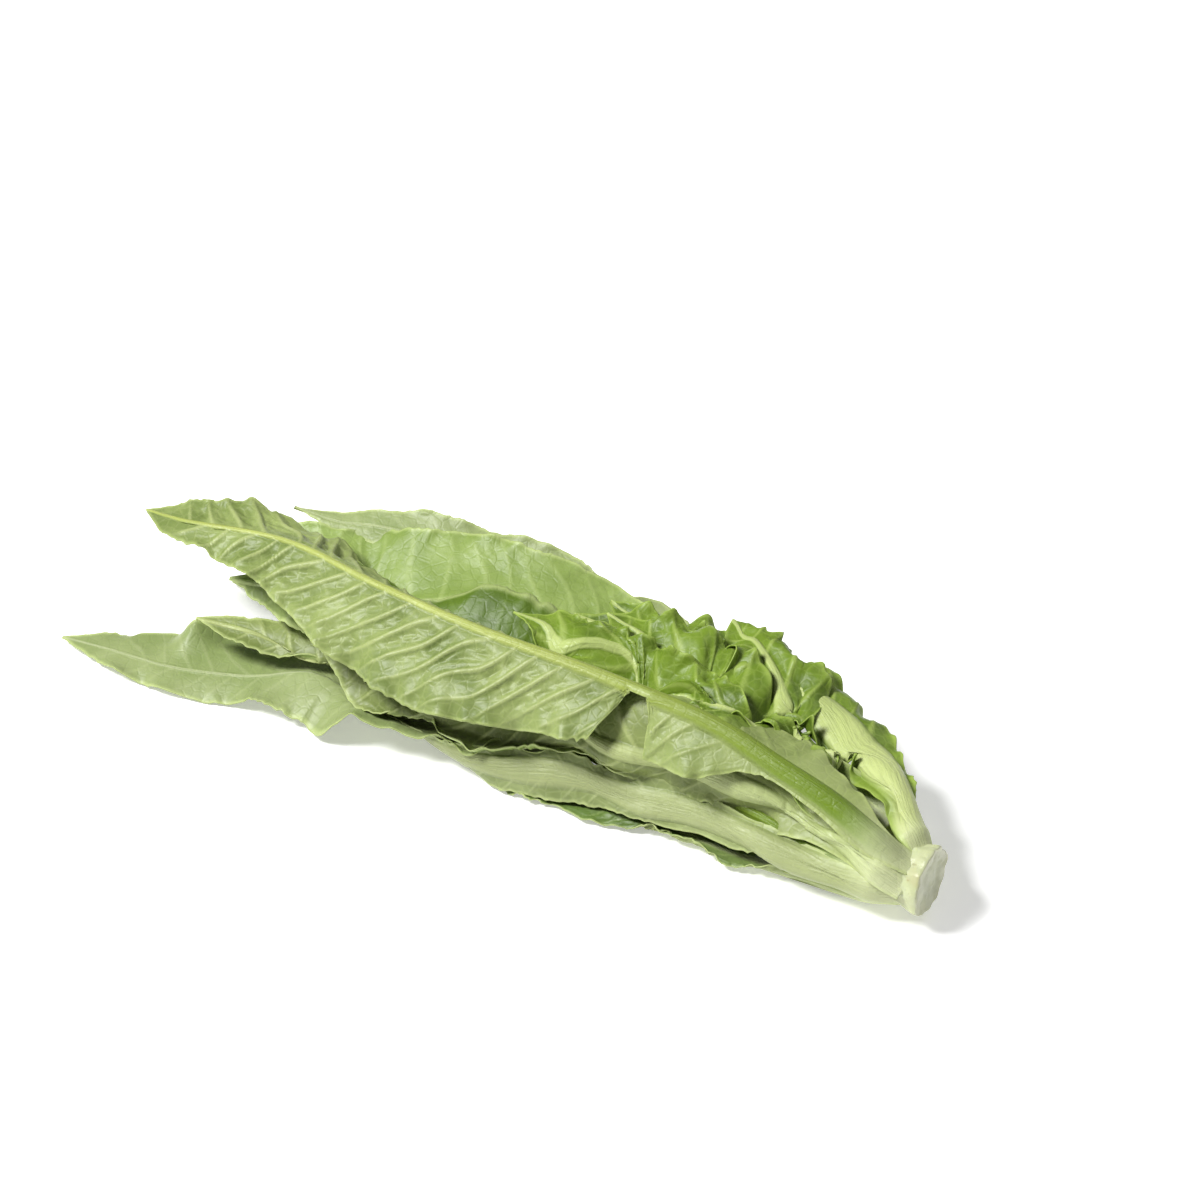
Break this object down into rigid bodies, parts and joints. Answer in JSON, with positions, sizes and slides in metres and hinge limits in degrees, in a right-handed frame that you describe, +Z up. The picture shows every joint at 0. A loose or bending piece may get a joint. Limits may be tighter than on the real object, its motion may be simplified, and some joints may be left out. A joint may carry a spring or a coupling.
{
  "type": "head of long-leaved loose lettuce",
  "caption": "Head of long, sword-shaped loose lettuce leaves on a short cut stem, lying on its side as on a counter.",
  "frame": {"origin": "middle of the head's footprint on the surface that it lies on", "axes": "+Z up from the surface, +X along the head from the leaf tips to the cut stem"},
  "size_m": [0.367, 0.1086, 0.0576],
  "materials": {
    "stem": "pale cream green, moist cut end with brown specks",
    "leaf_back": "satin leaf back, pale raised midrib and veins",
    "leaf_outer": "satin leaf face, mid green with fine sunk veins",
    "leaf_heart": "bright yellow-green, crumpled and satin"
  },
  "bodies": {
    "root": {"stem_core": "stem", "top_leaf": "leaf_back", "near_upper_leaf": "leaf_back", "near_lower_leaf": "leaf_back", "bottom_leaf": "leaf_outer", "far_lower_leaf": "leaf_outer", "far_petiole_leaf": "leaf_back", "ground_leaf": "leaf_outer", "far_ground_leaf": "leaf_outer", "far_veined_leaf": "leaf_outer", "far_pale_leaf": "leaf_outer", "shaded_leaf": "leaf_back", "inner_lower_leaf": "leaf_outer", "far_smooth_leaf": "leaf_outer", "under_tip_leaf": "leaf_back", "inner_near_leaf": "leaf_outer", "inner_far_leaf": "leaf_outer", "heart_leaf_1": "leaf_heart", "heart_leaf_2": "leaf_heart", "heart_leaf_3": "leaf_heart", "heart_leaf_4": "leaf_heart"}
  },
  "joints": []
}
